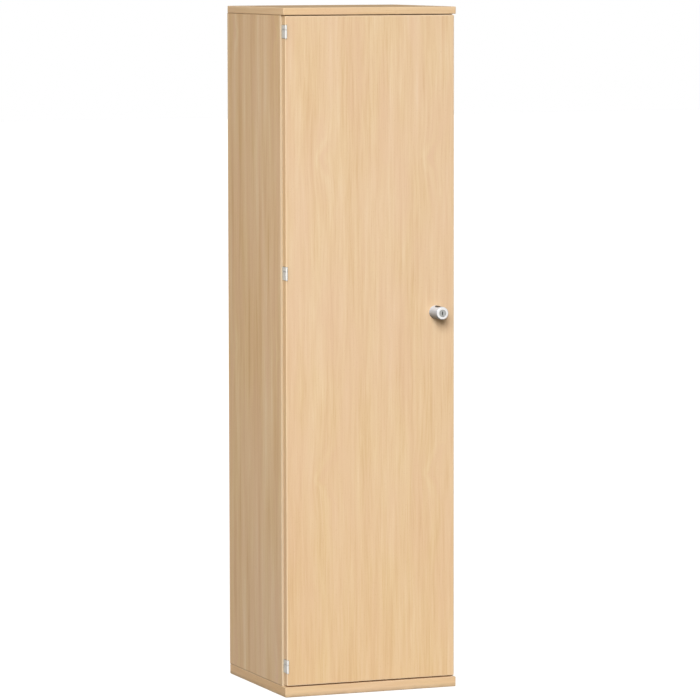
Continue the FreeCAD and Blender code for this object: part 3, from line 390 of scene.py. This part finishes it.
GRAIN_WAVES = (2400, 2400, 2400)
GRAIN_RELIEF = 0.0001
GRAIN_RELIEF_STRENGTH = 0.35
GRAIN_ROUGHNESS = 0.16
PLASTIC_CLOUD_WAVES = (90, 90, 90)
graph, given, put_out = new_group("moulded_skin", ("Place",), ("Grain", "Cloud"))
feed(graph, put_out,
     Grain=graph.noise(graph.scaled(given["Place"], GRAIN_WAVES), 2.0),
     Cloud=graph.noise(graph.scaled(given["Place"], PLASTIC_CLOUD_WAVES), 2.0))
moulded_skin = graph.tree


def placed_group(graph, tree):
    """A shader group at the object's own coordinates, as its outputs."""
    return graph.add("Group", {"Place": graph.where()}, node_tree=tree).outputs


def moulded_plastic(name, colour, paler, roughness):
    """Injection-moulded plastic: a fine even grain, and a tone that drifts a little."""
    material, graph, shader = new_material(name)
    skin = placed_group(graph, moulded_skin)
    uneven = graph.times(skin["Grain"], GRAIN_ROUGHNESS)
    feed(graph, shader.inputs,
         Base_Color=graph.mix(graph.fade(skin["Cloud"], 0.35, 0.65), colour, paler),
         Roughness=graph.total(uneven, roughness - GRAIN_ROUGHNESS / 2),
         Normal=graph.bump(skin["Grain"], GRAIN_RELIEF, GRAIN_RELIEF_STRENGTH))
    return material


GRIT_WAVES = (5200, 5200, 5200)
GRIT_RELIEF = 0.00004
GRIT_RELIEF_STRENGTH = 0.3
METAL_CLOUD_WAVES = (210, 210, 210)
SCRATCH_WAVES = (160, 3200, 900)
SCRATCH_WIDTH = 0.03
graph, given, put_out = new_group("metal_skin", ("Place",), ("Grit", "Cloud", "Scratch"))
place = given["Place"]
lines = graph.add(
    "TexVoronoi", {"Vector": graph.scaled(place, SCRATCH_WAVES), "Scale": 1.0},
    feature="DISTANCE_TO_EDGE")
feed(graph, put_out,
     Grit=graph.noise(graph.scaled(place, GRIT_WAVES), 1.0),
     Cloud=graph.noise(graph.scaled(place, METAL_CLOUD_WAVES), 3.0),
     Scratch=graph.fade(lines.outputs["Distance"], SCRATCH_WIDTH, 0.0))
metal_skin = graph.tree

WORN_ROUGHNESS = 0.10
GRIT_ROUGHNESS = 0.08
SCRATCH_ROUGHNESS = 0.06


def worn_patches(graph, skin):
    return graph.fade(skin["Cloud"], 0.36, 0.66)


def plated_metal(name, colour, dull, roughness, metallic=1.0, gloss=0.5, front_highlight=None):
    """Cast or pressed metal: its tone and gloss drift a little, with fine grit and faint scratches.
    When a last tone is given, faces that look to the front or the back take it: painted highlight that
    makes them lighter than the sides."""
    material, graph, shader = new_material(name, Metallic=metallic, Specular_IOR_Level=gloss)
    skin = placed_group(graph, metal_skin)
    worn = worn_patches(graph, skin)
    tone = graph.mix(worn, colour, dull)
    if front_highlight:
        tone = graph.mix(graph.fade(graph.faces_along("Y"), 0.60, 0.97), tone, front_highlight)
    feed(graph, shader.inputs,
         Base_Color=tone,
         Roughness=graph.total(
             graph.times(worn, WORN_ROUGHNESS),
             graph.times(skin["Grit"], GRIT_ROUGHNESS),
             graph.times(skin["Scratch"], SCRATCH_ROUGHNESS),
             roughness - (WORN_ROUGHNESS + GRIT_ROUGHNESS) / 2),
         Normal=graph.bump(skin["Grit"], GRIT_RELIEF, GRIT_RELIEF_STRENGTH))
    return material


black_nylon = moulded_plastic("black_nylon", paint(34, 34, 35), paint(46, 46, 47), roughness=0.48)
grey_nylon = moulded_plastic("grey_nylon", paint(186, 186, 183), paint(196, 196, 193), roughness=0.42)
raw_zinc = plated_metal("raw_zinc", paint(176, 177, 180), paint(150, 151, 155), roughness=0.42)
for side in ("left", "right"):
    dress(black_nylon, "front_" + side + "_foot", "rear_" + side + "_foot")
dress(grey_nylon, "foot_caps")
dress(raw_zinc, "foot_sleeves")

# Side boards: the same faced board with upright grain, bored with rows of 5 mm holes for the shelves.
# A greyer band covers each front edge, the back edges are bare, and the joints are hidden inside.
# Both ends are sawn; along them the print is painted darker, a little at the foot and less at the head:
# painted shade in the joints with the base and the top.

HEAD_LESS_JOINT_SHADE = 0.0010
SIDE_BANDING = 2.2
BAND_GREY = 0.8
BAND_LEAF_STEP = 0.5
lowest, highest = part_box("left_side_panel")
SIDE_JOINT_SHADE_ENDS = (lowest[2], highest[2] + HEAD_LESS_JOINT_SHADE)
for side, leaf in (("left_side", 2.75), ("right_side", 3.1)):
    board = beech_board(
        side + "_beech", "Y", "X", "Z", leaf=leaf, banding=SIDE_BANDING, shaded_joint_ends=SIDE_JOINT_SHADE_ENDS)
    band = beech_band(
        side + "_band_beech", ("Y", "Z"), leaf=leaf + BAND_LEAF_STEP, greyed=BAND_GREY)
    dress(board, side + "_panel")
    dress(band, side + "_edge_band")

# Board joints: zinc cam discs pull on steel bolts, and beech dowels beside them keep the boards in line.
# The discs' slotted faces show on the inner faces of the sides and under the fixed shelf.

bright_steel = plated_metal("bright_steel", paint(205, 206, 208), paint(186, 187, 190), roughness=0.28)
dress(raw_zinc, "cam_discs")
dress(bright_steel, "cam_bolts")

DOWEL_PALE = paint(222, 190, 146)
DOWEL_DARK = paint(203, 166, 120)
DOWEL_RELIEF = 0.0002
DOWEL_RELIEF_STRENGTH = 0.4
material, graph, shader = new_material("dowel_beech", Roughness=0.7)
figure = beech_figure(graph, grain_place(graph, "X", "Y", "Z"), leaf=0.0, banding=0.0)
feed(graph, shader.inputs,
     Base_Color=graph.mix(figure["Tone"], DOWEL_DARK, DOWEL_PALE),
     Normal=graph.bump(figure["Pore"], DOWEL_RELIEF, DOWEL_RELIEF_STRENGTH))
dress(material, "dowels")

# Back board: a thin board, faced with the same print.
# It slides in grooves of the sides, the top and the base.

dress(beech_board("back_beech", "X", "Y", "Z", leaf=4.3), "back_panel")

# Shelves: the middle one is fixed by cams and ties the sides together, the two others lie loose.
# Steel spade supports with pins in the hole rows carry the loose ones; each front edge has a band.

for shelf, leaf in (("fixed_shelf", 5.2), ("lower_shelf", 6.4), ("upper_shelf", 7.7)):
    dress(beech_board(shelf + "_beech", "Y", "Z", "X", leaf=leaf), shelf)
dress(beech_band("shelf_band_beech", ("Y", "X"), leaf=5.9), "shelf_edge_bands")
dress(bright_steel, "shelf_supports")

# Top board: a thinner faced board with bands on all four edges and a dull upper face.
# The sides' cams hold it down, so that no fixing shows from outside.

dress(beech_board("top_beech", "Y", "Z", "X", leaf=8.1, gloss=0.0), "top_panel")
dress(beech_band("top_band_beech", ("Y", "X"), ("X", "Y"), leaf=8.6), "top_edge_bands")

# Corner hinges: nickel-plated zinc castings, whose barrels stand at the cabinet's front corner.
# One leaf is screwed to the side, the other is let into the door, and a steel pin joins them.

# Their faces that look to the front or the back are painted lighter than their sides: painted highlight.
hinge_nickel = plated_metal(
    "hinge_nickel", paint(208, 209, 208), paint(198, 199, 198), roughness=0.36, metallic=0.15, gloss=0.3,
    front_highlight=paint(240, 241, 240))
for hinge in ("top_hinge", "middle_hinge", "bottom_hinge"):
    dress(hinge_nickel, hinge + "_frame_leaf", hinge + "_door_leaf")
    dress(bright_steel, hinge + "_pin")
dress(bright_steel, "hinge_frame_screws", "hinge_door_screws")

# Strike plate, rod sockets and door buffers: what the shut door meets on the carcass.
# The plate is zinc-plated steel, the sockets are nylon sleeves, and the buffers are clear soft domes.

dress(bright_steel, "strike_plate", "strike_screws")
dress(grey_nylon, "rod_sockets")
BUFFER_CLEAR = paint(226, 228, 226)
BUFFER_MILKY = paint(238, 239, 236)
BUFFER_ROUGHNESS = 0.15
BUFFER_ROUGHNESS_SWING = 0.1
material, graph, shader = new_material("clear_polyurethane", Transmission_Weight=0.7, IOR=1.48)
skin = placed_group(graph, moulded_skin)
feed(graph, shader.inputs,
     Base_Color=graph.mix(skin["Cloud"], BUFFER_CLEAR, BUFFER_MILKY),
     Roughness=graph.total(graph.times(skin["Grain"], BUFFER_ROUGHNESS_SWING), BUFFER_ROUGHNESS))
dress(material, "door_buffers")

# Door: one faced board with upright grain and bands on all four edges, notched at the hinges.
# Its print is painted darker and warmer towards the foot: painted shade.

DOOR_WARM_SHADE_FOOT = 0.85
dress(beech_board("door_beech", "X", "Y", "Z", leaf=0.0, warm_shade_foot=DOOR_WARM_SHADE_FOOT), "door_panel")
dress(beech_band("door_band_beech", ("X", "Z"), ("Z", "X"), leaf=0.5), "door_edge_bands")

# Rod lock: a pressed steel case on the back of the door, whose pinion drives two racks and a latch bolt.
# Round steel rods run from the racks to the top and the base through nylon guides.

lock_steel = plated_metal("lock_steel", paint(188, 190, 192), paint(166, 168, 172), roughness=0.36)
dress(lock_steel, "lock_base_plate", "lock_cover", "lock_pinion", "knob_spindle")
dress(lock_steel, "upper_rack", "lower_rack", "latch_bolt")
dress(bright_steel, "upper_rod", "lower_rod", "lock_screws", "rod_guide_screws")
dress(grey_nylon, "rod_guides", "spindle_bush")

# Turn knob: a satin-nickel casting on a thin rosette, with black pads in finger hollows above and below.
# Its flank is painted darker towards the underside, which is painted shade, and its end face is bright.
# A nickel-silver key cylinder sits in the end face.

FACE_BRIGHT = paint(238, 238, 239)
FACE_METALLIC = 0.45
FLANK_PALE = paint(220, 230, 246)
FLANK_DULL = paint(212, 222, 238)
FLANK_PAINTED_SHADE = paint(62, 72, 86)
UNDERSIDE_SHADE_SHARE = 0.9
SATIN_ROUGHNESS = 0.28
SATIN_ROUGHNESS_SWING = 0.10
material, graph, shader = new_material("satin_nickel", Specular_IOR_Level=0.25)
skin = placed_group(graph, metal_skin)
flank = graph.mix(worn_patches(graph, skin), FLANK_PALE, FLANK_DULL)
# Painted shade: the flank darkens as it turns to look down.
painted_underside_shade = graph.fade(graph.facing()["Z"], 0.75, -0.65, 0.0, UNDERSIDE_SHADE_SHARE)
flank = graph.mix(painted_underside_shade, flank, FLANK_PAINTED_SHADE)
end_face = graph.fade(graph.faces_along("Y"), 0.80, 0.97)
feed(graph, shader.inputs,
     Base_Color=graph.mix(end_face, flank, FACE_BRIGHT),
     Metallic=graph.times(end_face, FACE_METALLIC),
     Roughness=graph.total(graph.times(skin["Grit"], SATIN_ROUGHNESS_SWING), SATIN_ROUGHNESS),
     Normal=graph.bump(skin["Grit"], GRIT_RELIEF, GRIT_RELIEF_STRENGTH))
dress(material, "knob", "lock_rosette")
key_metal = plated_metal("key_metal", paint(178, 180, 178), paint(160, 162, 160), roughness=0.30)
dress(key_metal, "key_cylinder", "key_plug")
dress(black_nylon, "knob_grips")

# Studio: a pale floor under one large soft lamp from the upper left of the door.
# A weaker low lamp lights the back and the right side, and a tall warm strip fades over the left side.
# Weak warm light comes from all round.

FLOOR_HALF_SIZE = 30.0
FLOOR_CELLS = 4
FLOOR_DROP = 0.0003
mesh = bpy.data.meshes.new("studio_floor")
surface = bmesh.new()
bmesh.ops.create_grid(
    surface, x_segments=FLOOR_CELLS, y_segments=FLOOR_CELLS, size=FLOOR_HALF_SIZE)
bmesh.ops.translate(surface, verts=surface.verts, vec=(0.0, 0.0, -FLOOR_DROP))
surface.to_mesh(mesh)
surface.free()
floor = bpy.data.objects.new("studio_floor", mesh)
bpy.context.scene.collection.objects.link(floor)


def seen_directly(graph):
    """1 for what the camera, a mirror or glass shows, 0 for light that bounces."""
    path = graph.add("LightPath").outputs
    shown = graph.math("MAXIMUM", path["Is Camera Ray"], path["Is Glossy Ray"])
    return graph.math("MAXIMUM", shown, path["Is Transmission Ray"])


FLOOR_DARK = paint(124, 115, 104)
FLOOR_PALE = paint(128, 119, 108)
FLOOR_WAVES = (3, 3, 3)
FLOOR_LIFT = 0.93
material, graph, shader = new_material("studio_floor", Roughness=0.9)
patches = graph.noise(graph.scaled(graph.where(), FLOOR_WAVES), 3.0)
feed(graph, shader.inputs, Base_Color=graph.mix(patches, FLOOR_DARK, FLOOR_PALE))
lift = graph.add("Emission", {"Strength": graph.times(seen_directly(graph), FLOOR_LIFT)})
both = graph.add("AddShader", {0: shader.outputs[0], 1: lift.outputs[0]})
graph.tree.links.new(both.outputs[0], graph.tree.nodes["Material Output"].inputs["Surface"])
mesh.materials.append(material)


def add_lamp(name, kind, source):
    """A lamp's object, turned so that its light comes from the direction of source."""
    lamp_object = bpy.data.objects.new(name, bpy.data.lights.new(name, kind))
    lamp_object.rotation_euler = source.to_track_quat("Z", "Y").to_euler()
    bpy.context.scene.collection.objects.link(lamp_object)
    return lamp_object


LAMP_FROM = Vector((-0.37, -0.82, 0.44))
LAMP_STRENGTH = 2.96
BACK_LAMP_FROM = Vector((0.60, 0.80, 0.02))
BACK_LAMP_STRENGTH = 1.4
LAMP_ANGLE = math.radians(30)
for name, source, strength in (
        ("soft_lamp", LAMP_FROM, LAMP_STRENGTH), ("back_lamp", BACK_LAMP_FROM, BACK_LAMP_STRENGTH)):
    lamp = add_lamp(name, "SUN", source).data
    lamp.energy = strength
    lamp.angle = LAMP_ANGLE

STRIP_PLACE = Vector((-1.6, -0.75, 1.35))
STRIP_AIM = Vector((-0.2, -0.50, 1.20))
STRIP_COLOUR = (1.0, 0.89, 0.72)
STRIP_WIDTH = 0.4
STRIP_HEIGHT = 2.0
STRIP_SPREAD = math.radians(90)
STRIP_POWER = 2.4
strip_object = add_lamp("side_lamp", "AREA", STRIP_PLACE - STRIP_AIM)
strip_object.location = STRIP_PLACE
strip = strip_object.data
strip.shape = "RECTANGLE"
strip.size = STRIP_WIDTH
strip.size_y = STRIP_HEIGHT
strip.spread = STRIP_SPREAD
strip.energy = STRIP_POWER
strip.color = STRIP_COLOUR

ROOM_COLOUR = (1.0, 0.88, 0.64, 1.0)
ROOM_STRENGTH = 0.14
WHITE = (1.0, 1.0, 1.0, 1.0)
world = bpy.data.worlds.new("studio")
world.use_nodes = True
world.node_tree.nodes.clear()
graph = Graph(world.node_tree)
light = graph.add("Background", {"Color": ROOM_COLOUR, "Strength": ROOM_STRENGTH})
white = graph.add("Background", {"Color": WHITE, "Strength": 1.0})
both = graph.add("MixShader", {0: seen_directly(graph), 1: light.outputs[0], 2: white.outputs[0]})
graph.tree.links.new(both.outputs[0], graph.add("OutputWorld").inputs["Surface"])
bpy.context.scene.world = world
bpy.context.scene.view_settings.view_transform = "Standard"

# Camera: far off with a long lens, a little above the cabinet's top.
# It stands to the left of the front, so that the left side shows too.

CAMERA_PLACE = Vector((-3.5706, -9.0732, 1.6251))
CAMERA_YAW = math.radians(21.594)
CAMERA_PITCH = math.radians(-5.219)
CAMERA_ROLL = math.radians(-0.100)
CAMERA_LENS = 228.57
CAMERA_SENSOR = 36.0
CAMERA_REACH = 200.0
camera = bpy.data.cameras.new("camera")
camera.sensor_width = CAMERA_SENSOR
camera.lens = CAMERA_LENS
camera.clip_end = CAMERA_REACH
camera_object = bpy.data.objects.new("camera", camera)
aim = Euler((math.pi / 2 + CAMERA_PITCH, 0.0, -CAMERA_YAW)).to_matrix().to_4x4()
roll = Matrix.Rotation(CAMERA_ROLL, 4, "Z")
camera_object.matrix_world = Matrix.Translation(CAMERA_PLACE) @ aim @ roll
bpy.context.scene.collection.objects.link(camera_object)
bpy.context.scene.camera = camera_object
